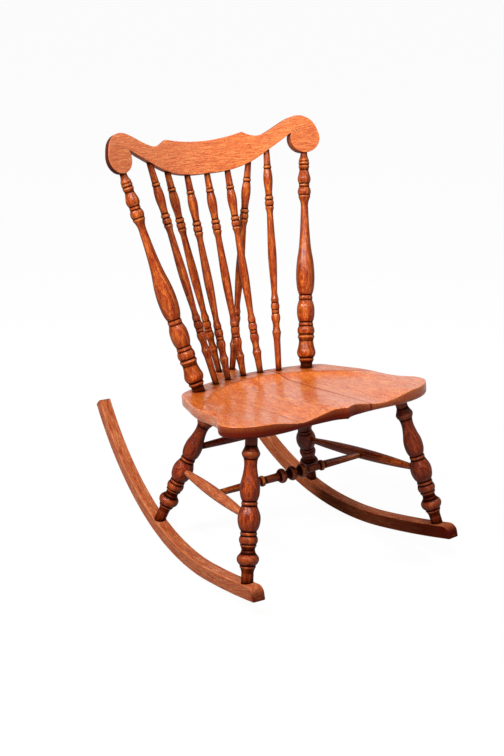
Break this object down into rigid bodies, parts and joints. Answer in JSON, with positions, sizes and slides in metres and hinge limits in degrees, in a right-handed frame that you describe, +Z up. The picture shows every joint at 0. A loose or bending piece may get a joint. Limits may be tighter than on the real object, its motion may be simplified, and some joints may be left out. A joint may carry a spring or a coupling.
{
  "type": "rocking chair",
  "caption": "Armless oak sewing rocker with saddle seat, bobtail braces, turned legs, posts and spindles, and a bent crest rail with scrolled ends.",
  "frame": {"origin": "on the floor, under the middle of the rockers' length and on the chair's middle plane", "axes": "+X to the right as seen from the front, +Y towards the back, +Z up"},
  "size_m": [0.486, 0.7276, 0.8125],
  "materials": {
    "oak_seat": "worn satin shellac on golden oak",
    "oak_crest": "satin shellac on golden oak",
    "oak_turned": "glossy darkened shellac on golden oak",
    "oak_rocker": "dull worn shellac on golden oak"
  },
  "bodies": {
    "root": {"seat_board_left": "oak_seat", "seat_board_centre": "oak_seat", "seat_board_right": "oak_seat", "crest_rail": "oak_crest", "back_post_left": "oak_turned", "back_post_right": "oak_turned", "spindle_1": "oak_turned", "spindle_2": "oak_turned", "spindle_3": "oak_turned", "spindle_4": "oak_turned", "spindle_5": "oak_turned", "brace_spindle_left": "oak_turned", "brace_spindle_right": "oak_turned", "leg_front_left": "oak_turned", "leg_front_right": "oak_turned", "leg_back_left": "oak_turned", "leg_back_right": "oak_turned", "side_stretcher_left": "oak_turned", "side_stretcher_right": "oak_turned", "centre_stretcher": "oak_turned", "rear_stretcher": "oak_turned", "rocker_left": "oak_rocker", "rocker_right": "oak_rocker"}
  },
  "joints": []
}
